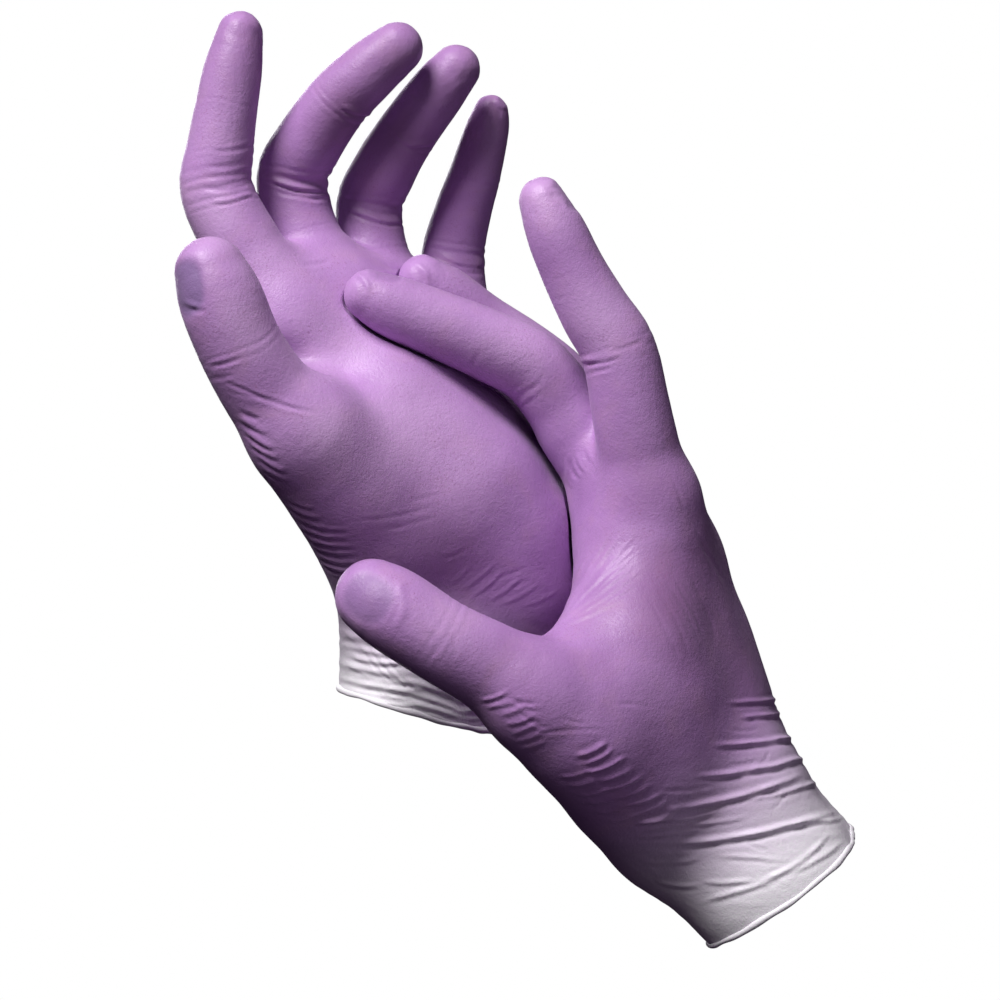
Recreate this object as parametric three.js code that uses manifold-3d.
// A pair of thin dipped gloves holding the shape of two relaxed hands, the right
// glove cupped round the left. Millimetres, +Z up, fingers upward and cuffs at
// the bottom, origin at the bottom centre of the pair. Each glove is a hollow
// film: a palm shell, a cuff with a rolled bead and, for every finger, short
// shells that meet at the knuckles on hollow balls.
import * as THREE from 'three';
import { ConvexGeometry } from 'three/addons/geometries/ConvexGeometry.js';
import { mergeVertices } from 'three/addons/utils/BufferGeometryUtils.js';
import Module from 'manifold-3d';

const wasm = await Module();
wasm.setup();

// ---- driving dimensions -------------------------------------------------
const WALL = 0.8; // film wall
const GAP = 0.35; // least clearance between a knuckle ball and the shell round it
const NECK = 0.7; // how much slimmer a shell is than the ball beside it
const OVERRUN = 1; // how far a cutting shape runs past an open end
const SLEEVE_TRIM = 1; // how far an open sleeve stops short of the next knuckle
const PAD_PLACE = 0.5; // widest place of a fingertip, as a share of its length

// Openings on the parent side of a ball or barrel, as shares of its radius
const KNUCKLE_OPENING = 0.6;
const WRIST_OPENING = 0.78;
const OPENING_DEPTH = 1.3;

const BEND_MARGIN = 1; // degrees cleared beyond each end of a joint's range
const FIRST_REACH = 1; // length swept in the palm, as a share of the segment
const LATER_REACH = 0.6; // the same for the knuckles further along
const MIN_BEND_SINE = 0.25; // straighter joints take their axis from the palm

// Space that the turning cuff needs inside the palm shell
const CUFF_SWEEP = { reach: 26, extraRadius: 6, extraSpread: 3 };
const RIM_CUT = { radius: 60, depth: 40, sides: 12 };
const BEAD = { length: 2.4, outside: 1.0, inside: 1.2 }; // radial sizes from the film's outer face

const SIDES = 10; // facets round a finger
const OVAL_SIDES = 16; // facets round the cuff
const OPENING_SIDES = 6; // facets round a knuckle opening
const BALL_STEPS = 4; // facets from the pole of a knuckle ball to its neck
const TIP_STEPS = 3; // facets from a fingertip's rim to its pole
const CLEARANCE_STEPS = 8; // facets from pole to pole of a clearance ball
const FINGER_SWEEP_STEPS = 3;
const CUFF_SWEEP_STEPS = 4;
const FACET = Math.cos(Math.PI / SIDES); // flat-to-corner ratio of a finger
const BARREL_CLEARANCE = { widthSegments: 14, heightSegments: 8, facetRatio: 0.956 };

const ORIGIN = [3.49, -3.12, 10.96]; // bottom centre of the pair in the table's frame
const HAND_FILM = { color: 0xb28ccd, roughness: 0.45 };
const CUFF_FILM = { color: 0xcdb9da, roughness: 0.5 };

// ---- the two hands --------------------------------------------------------
// digits: at    knuckle centres from the palm outward, then the fingertip centre
//         balls radii of the knuckle balls
//         pad, tip  radii of the last shell at its middle and at its end
//         bends least and greatest bend about the rest pose, in degrees
// palm:   groups of spheres [x, y, z, radius]; the palm joins the groups' hulls
// wrist:  the two ball centres of the barrel, their radius and the bend range
// rim:    oval end of the cuff; spread is half the distance between arc centres
const GLOVES = {
  left: {
    palmNormal: [0.588, -0.809, 0],
    digits: {
      index: {
        at: [[-57.7, -4.0, 189.6], [-78.9, -4.0, 225.9], [-75.9, -6.0, 250.1], [-72.3, -6.0, 269.0]],
        balls: [8.9, 10.2, 8.9], pad: 8.3, tip: 6.6,
        bends: [[-15, 40], [-25, 50], [-15, 30]],
      },
      middle: {
        at: [[-44.6, 8.0, 195.1], [-59.1, 13.0, 230.9], [-46.2, 5.0, 251.5], [-28.9, 2.0, 266.5]],
        balls: [8.9, 10.1, 9.0], pad: 8.6, tip: 7.3,
        bends: [[-15, 20], [-25, 45], [-15, 27]],
      },
      ring: {
        at: [[-28.6, 19.0, 192.0], [-37.7, 24.0, 224.2], [-27.4, 18.0, 243.7], [-12.5, 14.0, 261.6]],
        balls: [8.9, 9.6, 8.6], pad: 8.0, tip: 6.8,
        bends: [[-15, 18], [-25, 40], [-15, 24]],
      },
      little: {
        at: [[-11.0, 30.0, 182.0], [-13.7, 36.0, 211.3], [-7.5, 32.0, 233.4], [-2.6, 29.0, 251.6]],
        balls: [8.7, 9.0, 7.7], pad: 6.6, tip: 5.0,
        bends: [[-15, 15], [-25, 35], [-15, 21]],
      },
      thumb: {
        at: [[-55.5, -26.0, 156.3], [-69.5, -37.0, 180.8], [-76.5, -40.0, 201.0]],
        balls: [12.2, 11.4], pad: 11.2, tip: 9.6,
        bends: [[-15, 30], [-30, 45]],
      },
    },
    palm: [
      [
        [-57.7, -4.0, 189.6, 10.8], [-44.6, 8.0, 195.1, 10.8], [-28.6, 19.0, 192.0, 10.6],
        [-11.0, 30.0, 182.0, 10.4], [-26.8, 8.0, 118.9, 14], [0.0, 24.0, 114.1, 14],
        [3.0, 21.0, 134.0, 13.5],
      ],
      [
        [-55.5, -26.0, 156.3, 14.4], [-41.2, -18.0, 142.2, 15.5], [-33.3, -8.0, 129.0, 17.0],
        [-26.8, 6.0, 118.9, 16], [-49.0, -10.0, 172.0, 8],
      ],
      [[-26.8, 6.0, 118.9, 16], [0.0, 24.0, 114.1, 15], [-33.3, -8.0, 129.0, 15]],
    ],
    wrist: { at: [[-23.0, 3.5, 104.0], [-4.5, 22.0, 100.5]], radius: 18.3, range: [-20, 20] },
    rim: { at: [-18.5, 12.5, 79.6], axis: [-0.274, 0, -0.962], spread: 12.5, radius: 19.5 },
  },
  right: {
    palmNormal: [-0.978, 0.208, 0],
    digits: {
      index: {
        at: [[40.8, -13.0, 140.0], [32.6, -19.0, 180.6], [20.2, -21.0, 202.4], [11.7, -22.0, 221.1]],
        balls: [8.9, 10.3, 9.0], pad: 8.4, tip: 6.8,
        bends: [[-15, 6], [-25, 10], [-15, 6]],
      },
      middle: {
        at: [[38.3, 6.0, 141.4], [10.3, -2.0, 175.8], [-16.1, -9.0, 188.2], [-35.5, -12.0, 196.4]],
        balls: [8.9, 10.3, 9.2], pad: 8.8, tip: 7.3,
        bends: [[-8, 2], [-20, 5], [-12, 3]],
      },
      ring: {
        at: [[40.8, 24.5, 138.6], [18.0, 20.0, 172.8], [-4.2, 12.8, 189.5], [-20.0, 5.5, 200.6]],
        balls: [8.9, 9.5, 8.5], pad: 8.0, tip: 7.0,
        bends: [[-15, 0], [-20, 0], [-12, 0]],
      },
      little: {
        at: [[44.5, 42.5, 131.8], [27.0, 42.0, 158.0], [14.5, 42.0, 169.5], [6.0, 42.0, 178.0]],
        balls: [8.7, 8.6, 7.6], pad: 7.0, tip: 6.2,
        bends: [[-15, 5], [-20, 20], [-12, 12]],
      },
      thumb: {
        at: [[11.2, -41.0, 86.6], [-15.9, -48.0, 102.9], [-33.5, -46.0, 114.1]],
        balls: [12.2, 11.3], pad: 11.3, tip: 10.0,
        bends: [[-15, 15], [-25, 15]],
      },
    },
    palm: [
      [
        [40.8, -13.0, 140.0, 10.8], [38.3, 6.0, 141.4, 10.8], [40.8, 24.0, 138.6, 10.6],
        [44.5, 42.5, 131.8, 10.2], [54.8, -2.0, 82.7, 15], [58.8, 27.0, 76.6, 14],
        [44.7, 26.0, 99.7, 16],
      ],
      [
        [11.2, -41.0, 86.6, 14.4], [26.4, -34.0, 74.0, 15.5], [38.2, -22.0, 62.0, 17],
        [41.1, -20.0, 72.9, 17], [54.8, -2.0, 82.7, 15], [32.2, -22.0, 112.7, 11],
      ],
      [
        [32.2, -22.0, 112.7, 12], [40.8, -13.0, 138.0, 10.2], [41.1, -20.0, 76.0, 17],
        [54.8, -2.0, 90.0, 15],
      ],
      [[54.8, -2.0, 82.7, 16], [58.8, 27.0, 76.6, 15], [38.2, -22.0, 62.0, 17]],
    ],
    wrist: { at: [[58.0, -2.5, 54.5], [62.5, 17.5, 53.5]], radius: 20.5, range: [-25, 25] },
    rim: { at: [74.0, 8.0, 27.6], axis: [0.582, 0, -0.813], spread: 11.5, radius: 22.5 },
  },
};

// ---- vectors and solids ---------------------------------------------------
const vector = ([x, y, z]) => new THREE.Vector3(x, y, z);
const along = (point, direction, distance) => point.clone().addScaledVector(direction, distance);
const joined = (solids) => solids.reduce((a, b) => a.add(b));
const hull = (points) => solid(new ConvexGeometry(points));

function turn(direction, axis, degrees) {
  return direction.clone().applyAxisAngle(axis, THREE.MathUtils.degToRad(degrees));
}

// Welds a geometry into a manifold solid with its faces outward.
function solid(geometry) {
  for (const key of Object.keys(geometry.attributes)) {
    if (key !== 'position') geometry.deleteAttribute(key);
  }
  const welded = mergeVertices(geometry, 1e-4);
  const position = welded.attributes.position;
  const corner = (i) => new THREE.Vector3().fromBufferAttribute(position, i);
  const triangles = [];
  let volume = 0;
  for (let i = 0; i < welded.index.count; i += 3) {
    const [a, b, c] = welded.index.array.slice(i, i + 3);
    if (a === b || b === c || a === c) continue;
    triangles.push(a, b, c);
    volume += corner(a).dot(corner(b).cross(corner(c)));
  }
  if (volume < 0) {
    for (let i = 0; i < triangles.length; i += 3) {
      [triangles[i], triangles[i + 1]] = [triangles[i + 1], triangles[i]];
    }
  }
  return new wasm.Manifold(new wasm.Mesh({
    numProp: 3,
    vertProperties: new Float32Array(position.array),
    triVerts: new Uint32Array(triangles),
  }));
}

// A [radius, height] profile turned round an axis through the centre.
function turned(profile, centre, direction) {
  const points = profile.map(([radius, height]) => new THREE.Vector2(radius, height));
  const up = new THREE.Vector3(0, 1, 0);
  const rotation = new THREE.Quaternion().setFromUnitVectors(up, direction);
  const place = new THREE.Matrix4().compose(centre, rotation, new THREE.Vector3(1, 1, 1));
  return solid(new THREE.LatheGeometry(points, SIDES).applyMatrix4(place));
}

function pointsRound(centre, geometry, scale = 1) {
  const position = geometry.attributes.position;
  return Array.from({ length: position.count }, (_, i) => (
    new THREE.Vector3().fromBufferAttribute(position, i).multiplyScalar(scale).add(centre)
  ));
}

const UNIT_BALL = new THREE.IcosahedronGeometry(1, 1);
const sphereHull = (spheres, inset = 0) => hull(spheres.flatMap(([x, y, z, radius]) => (
  pointsRound(new THREE.Vector3(x, y, z), UNIT_BALL, radius - inset)
)));

// A ring of points round an axis; an oval when it is given a spread vector.
function ring(centre, direction, radius, { spread = null, sides = SIDES } = {}) {
  const x = spread
    ? spread.clone().normalize()
    : new THREE.Vector3(direction.z, direction.x, direction.y).cross(direction).normalize();
  x.addScaledVector(direction, -x.dot(direction)).normalize();
  const y = direction.clone().cross(x);
  const half = spread ? spread.length() : 0;
  return Array.from({ length: sides }, (_, i) => {
    const angle = (i + 0.5) * 2 * Math.PI / sides;
    const cosine = Math.cos(angle);
    return along(centre, x, radius * cosine + Math.sign(cosine) * half)
      .addScaledVector(y, radius * Math.sin(angle));
  });
}

// A straight bar between two distances along an axis.
function bar(centre, direction, [from, to], radius, options) {
  return hull([from, to].flatMap((distance) => (
    ring(along(centre, direction, distance), direction, radius, options)
  )));
}

// Directions spaced over a joint's range and its margin.
function bentDirections(rest, axis, [least, most], steps) {
  return Array.from({ length: steps + 1 }, (_, i) => (
    turn(rest, axis, least - BEND_MARGIN + (most - least + 2 * BEND_MARGIN) * i / steps)
  ));
}

const meshes = [];
function addMesh(name, manifold, film) {
  const { vertProperties, triVerts } = manifold.getMesh();
  const geometry = new THREE.BufferGeometry();
  geometry.setAttribute('position', new THREE.BufferAttribute(new Float32Array(vertProperties), 3));
  geometry.setIndex(new THREE.BufferAttribute(new Uint32Array(triVerts), 1));
  geometry.translate(-ORIGIN[0], -ORIGIN[1], -ORIGIN[2]);
  geometry.computeVertexNormals();
  const material = new THREE.MeshStandardMaterial({ name: `${name}_film`, ...film, metalness: 0 });
  const mesh = new THREE.Mesh(geometry, material);
  mesh.name = name;
  meshes.push(mesh);
}

// ---- fingers and thumbs -----------------------------------------------------
// A ball, then a taper that ends in a round tip if it has a pad, else flat.
function segmentProfile({ length, ball, neck, end, pad }) {
  const profile = [[0, -ball]];
  const neckAngle = Math.PI - Math.asin(neck / ball);
  for (let i = 1; i <= BALL_STEPS; i++) {
    const angle = neckAngle * i / BALL_STEPS;
    profile.push([ball * Math.sin(angle), -ball * Math.cos(angle)]);
  }
  if (!pad) return [...profile, [end, length], [0, length]];
  profile.push([pad, length * PAD_PLACE]);
  for (let i = 1; i <= TIP_STEPS; i++) {
    const angle = Math.PI / 2 * i / TIP_STEPS;
    const radius = i === TIP_STEPS ? 0 : end * Math.cos(angle);
    profile.push([radius, length + end * Math.sin(angle)]);
  }
  return profile;
}

// A faceted ball that a turning ball of the given radius stays inside.
function clearanceBall(centre, direction, radius) {
  const corner = radius / FACET / Math.cos(Math.PI / CLEARANCE_STEPS / 2);
  const profile = [];
  for (let i = 0; i <= CLEARANCE_STEPS; i++) {
    const angle = Math.PI * i / CLEARANCE_STEPS;
    const pole = i === 0 || i === CLEARANCE_STEPS;
    profile.push([pole ? 0 : corner * Math.sin(angle), -corner * Math.cos(angle)]);
  }
  return turned(profile, centre, direction);
}

function bendAxis(before, after, palmNormal) {
  const palmAxis = after.clone().cross(palmNormal).normalize();
  if (!before) return palmAxis;
  const bend = before.clone().cross(after);
  return bend.length() > MIN_BEND_SINE && bend.dot(palmAxis) > 0 ? bend.normalize() : palmAxis;
}

// Adds the shells of one digit and returns what the palm has to leave clear.
function addDigit(name, { at, balls, pad, tip, bends }, palmNormal) {
  const centres = at.map(vector);
  const directions = balls.map((_, i) => centres[i + 1].clone().sub(centres[i]).normalize());
  const shells = [];
  const cuts = [];
  balls.forEach((ball, i) => {
    const centre = centres[i];
    const direction = directions[i];
    const isTip = i === balls.length - 1;
    const length = centres[i + 1].distanceTo(centre);
    const neck = ball - NECK;
    const end = isTip ? tip : balls[i + 1] - NECK;
    const body = (inset, extra) => turned(segmentProfile({
      length: length + (isTip ? 0 : extra),
      ball: ball - inset,
      neck: neck - inset,
      end: end - inset,
      pad: isTip ? pad - inset : null,
    }), centre, direction);

    const parentDirection = directions[i - 1] ?? direction;
    const axis = bendAxis(directions[i - 1], direction, palmNormal);
    const [least, most] = bends[i];
    const back = turn(parentDirection, axis, (least + most) / 2).negate();
    const opening = bar(centre, back, [0, ball * OPENING_DEPTH], ball * KNUCKLE_OPENING,
      { sides: OPENING_SIDES });
    shells.push(body(0, -SLEEVE_TRIM).subtract(body(WALL, OVERRUN)).subtract(opening));

    // Room in the parent shell for the ball and the swing of this one.
    const reach = length * (i === 0 ? FIRST_REACH : LATER_REACH);
    const swing = bentDirections(direction, axis, bends[i], FINGER_SWEEP_STEPS).flatMap((bent) => [
      ...ring(centre, bent, (neck + GAP) / FACET),
      ...ring(along(centre, bent, reach), bent, (end + GAP) / FACET),
    ]);
    cuts.push(clearanceBall(centre, parentDirection, ball + GAP).add(hull(swing)));
  });

  const segmentNames = balls.length === 3 ? ['base', 'middle', 'tip'] : ['base', 'tip'];
  shells.forEach((shell, i) => {
    const cut = cuts[i + 1];
    addMesh(`${name}_${segmentNames[i]}`, cut ? shell.subtract(cut) : shell, HAND_FILM);
  });
  return cuts[0];
}

// ---- cuff, bead and palm ----------------------------------------------------
// The wrist and rim as vectors, with the wrist's width laid square to any axis.
function cuffFrame({ wrist, rim }) {
  const ends = wrist.at.map(vector);
  const middle = ends[0].clone().add(ends[1]).multiplyScalar(0.5);
  const across = ends[1].clone().sub(ends[0]);
  const rimCentre = vector(rim.at);
  const rimAxis = vector(rim.axis).normalize();
  const oval = (direction, half) => ({
    spread: along(across, direction, -across.dot(direction)).normalize().multiplyScalar(half),
    sides: OVAL_SIDES,
  });
  return {
    ends, middle, rimCentre, rimAxis, oval,
    hinge: across.clone().normalize(),
    out: rimCentre.clone().sub(middle).normalize(), // from the wrist towards the rim
    half: across.length() / 2,
    rimOval: oval(rimAxis, rim.spread),
  };
}

// An oval barrel that turns inside the heel of the palm, and a tube to the rim.
function addCuff(side, { wrist, rim }, frame) {
  const { middle, out, half, rimCentre, rimAxis, oval, rimOval } = frame;
  const body = (inset, extra) => {
    const barrel = sphereHull(wrist.at.map((centre) => [...centre, wrist.radius - inset]));
    const tube = hull([
      ...ring(middle, out, wrist.radius - NECK - inset, oval(out, half)),
      ...ring(along(rimCentre, rimAxis, extra), rimAxis, rim.radius - inset, rimOval),
    ]);
    return barrel.add(tube);
  };
  const beyondRim = bar(rimCentre, rimAxis, [0, RIM_CUT.depth], RIM_CUT.radius,
    { sides: RIM_CUT.sides });
  const back = out.clone().negate();
  const opening = bar(middle, back, [0, wrist.radius * OPENING_DEPTH],
    wrist.radius * WRIST_OPENING, oval(back, half));
  const cuff = body(0, 0).subtract(body(WALL, OVERRUN)).subtract(beyondRim).subtract(opening);
  addMesh(`${side}_cuff`, cuff, CUFF_FILM);
}

// A flat-ended oval ring on the rim.
function addBead(side, { rim }, { rimCentre, rimAxis, rimOval }) {
  const outer = bar(rimCentre, rimAxis, [0, BEAD.length], rim.radius + BEAD.outside, rimOval);
  const bore = bar(rimCentre, rimAxis, [-OVERRUN, BEAD.length + OVERRUN],
    rim.radius - BEAD.inside, rimOval);
  addMesh(`${side}_cuff_bead`, outer.subtract(bore), CUFF_FILM);
}

function barrelClearance(ends, radius) {
  const { widthSegments, heightSegments, facetRatio } = BARREL_CLEARANCE;
  const ball = new THREE.SphereGeometry(radius / facetRatio, widthSegments, heightSegments);
  return hull(ends.flatMap((end) => pointsRound(end, ball)));
}

function addPalm(side, { palm, wrist }, frame, knuckleCuts) {
  const { ends, middle, out, hinge, half, oval } = frame;
  // The last group also takes in the wrist.
  const wristSpheres = wrist.at.map((centre) => [...centre, wrist.radius - NECK]);
  const groups = [...palm.slice(0, -1), [...palm.at(-1), ...wristSpheres]];
  const body = (inset) => joined(groups.map((group) => sphereHull(group, inset)));

  const swing = bentDirections(out, hinge, wrist.range, CUFF_SWEEP_STEPS).flatMap((bent) => [
    ...ring(middle, bent, wrist.radius - NECK + GAP, oval(bent, half)),
    ...ring(along(middle, bent, CUFF_SWEEP.reach), bent, wrist.radius + CUFF_SWEEP.extraRadius,
      oval(bent, half + CUFF_SWEEP.extraSpread)),
  ]);
  const cuts = [...knuckleCuts, barrelClearance(ends, wrist.radius + GAP), hull(swing)];
  const shell = cuts.reduce((rest, cut) => rest.subtract(cut), body(0).subtract(body(WALL)));
  addMesh(`${side}_palm`, shell, HAND_FILM);
}

// ---- the pair -----------------------------------------------------------------
for (const [side, glove] of Object.entries(GLOVES)) {
  const palmNormal = vector(glove.palmNormal).normalize();
  const knuckleCuts = Object.entries(glove.digits).map(([name, digit]) => (
    addDigit(`${side}_${name}`, digit, palmNormal)
  ));
  const frame = cuffFrame(glove);
  addCuff(side, glove, frame);
  addBead(side, glove, frame);
  addPalm(side, glove, frame, knuckleCuts);
}

const pair = new THREE.Group();
pair.name = 'worn_glove_pair';
meshes.sort((a, b) => (a.name < b.name ? -1 : 1));
pair.add(...meshes);

export default pair;
